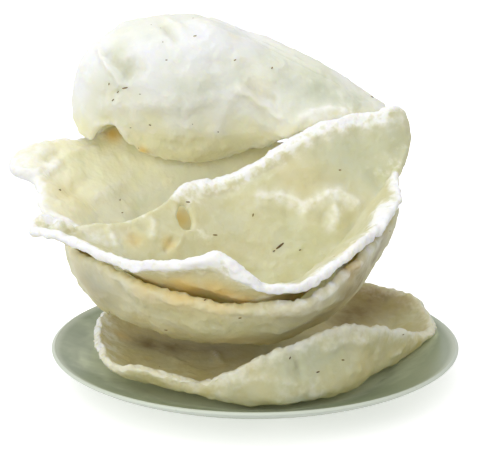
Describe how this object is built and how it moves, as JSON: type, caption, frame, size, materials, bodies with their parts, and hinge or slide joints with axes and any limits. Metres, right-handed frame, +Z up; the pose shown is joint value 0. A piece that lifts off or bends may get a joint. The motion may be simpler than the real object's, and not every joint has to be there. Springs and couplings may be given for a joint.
{
  "type": "stack of rice papadums",
  "caption": "Stack of puffed, crumpled rice papadums piled up on a shallow round side plate, served as a crisp snack.",
  "frame": {"origin": "middle of the plate's flat underside", "axes": "+Z up out of the plate, -Y towards the stack's low front, +X to the right as seen from the front"},
  "size_m": [0.2262, 0.2086, 0.1709],
  "materials": {
    "plate_glaze": "pale grey-green glazed ceramic",
    "papad_bottom_crisp": "puffed fried rice sheet, satin with tiny blisters",
    "papad_lower_bowl_crisp": "puffed fried rice sheet, satin with tiny blisters",
    "papad_back_bowl_crisp": "puffed fried rice sheet, satin with tiny blisters",
    "papad_front_bowl_crisp": "puffed fried rice sheet, satin with tiny blisters",
    "papad_top_hood_crisp": "puffed fried rice sheet, satin with tiny blisters"
  },
  "bodies": {
    "root": {"plate": "plate_glaze", "papad_bottom": "papad_bottom_crisp", "papad_lower_bowl": "papad_lower_bowl_crisp", "papad_back_bowl": "papad_back_bowl_crisp", "papad_front_bowl": "papad_front_bowl_crisp", "papad_top_hood": "papad_top_hood_crisp"}
  },
  "joints": []
}
